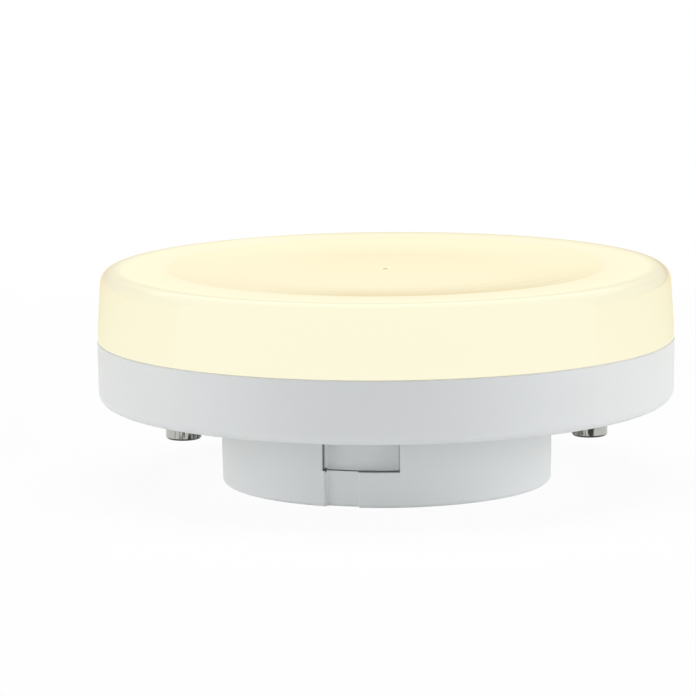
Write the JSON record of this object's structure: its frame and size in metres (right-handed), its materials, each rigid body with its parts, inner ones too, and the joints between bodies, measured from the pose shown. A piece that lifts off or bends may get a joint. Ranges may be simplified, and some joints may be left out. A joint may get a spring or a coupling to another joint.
{
  "type": "led disc lamp",
  "caption": "Flat round LED lamp with a glowing opal cap, a white disc housing and a narrower collar with lock grooves between contact pins.",
  "frame": {"origin": "middle of the collar's bottom face, which the lamp stands on", "axes": "+Z towards the diffuser, X through the two contact pins, -Y towards the front in the picture"},
  "size_m": [0.075, 0.075, 0.028],
  "materials": {
    "opal_cap": "moulded opal polycarbonate, lit warm white from inside",
    "white_moulding": "moulded white, fine satin",
    "pin_plating": "turned brass, nickel plated",
    "plate_aluminium": "pressed sheet, mill finish",
    "film": "thin translucent film",
    "board_white": "aluminium core under white solder mask",
    "led_cup": "moulded white",
    "led_fill": "clear silicone with yellow phosphor",
    "terminal_plastic": "moulded off-white",
    "screw_steel": "zinc plated",
    "board_green": "glass epoxy under green solder mask",
    "can_sleeve": "aluminium can in a black sleeve",
    "ferrite": "fired, dull grey",
    "copper_wire": "enamelled copper wire",
    "film_case": "moulded case filled with resin",
    "chip_epoxy": "moulded black epoxy",
    "resistor_coat": "lacquered ceramic rod",
    "chip_ceramic": "sintered ceramic",
    "lead_white": "silicone insulation, white",
    "lead_red": "silicone insulation, red",
    "lead_black": "silicone insulation, black"
  },
  "bodies": {
    "root": {"housing": "white_moulding", "diffuser": "opal_cap", "contact_pin_left": "pin_plating", "contact_pin_right": "pin_plating", "heat_spreader": "plate_aluminium", "insulating_sheet": "film", "led_board": "board_white", "led_packages": "led_cup", "led_phosphor": "led_fill", "board_terminal": "terminal_plastic", "board_screws": "screw_steel", "driver_board": "board_green", "input_capacitor": "can_sleeve", "output_capacitor": "can_sleeve", "choke_core": "ferrite", "choke_winding": "copper_wire", "film_capacitor": "film_case", "bridge_rectifier": "chip_epoxy", "driver_chip": "chip_epoxy", "catch_diode": "chip_epoxy", "fusible_resistor": "resistor_coat", "chip_resistors": "chip_ceramic", "chip_capacitors": "chip_ceramic", "pin_lead_left": "lead_white", "pin_lead_right": "lead_white", "led_lead_positive": "lead_red", "led_lead_negative": "lead_black"}
  },
  "joints": []
}
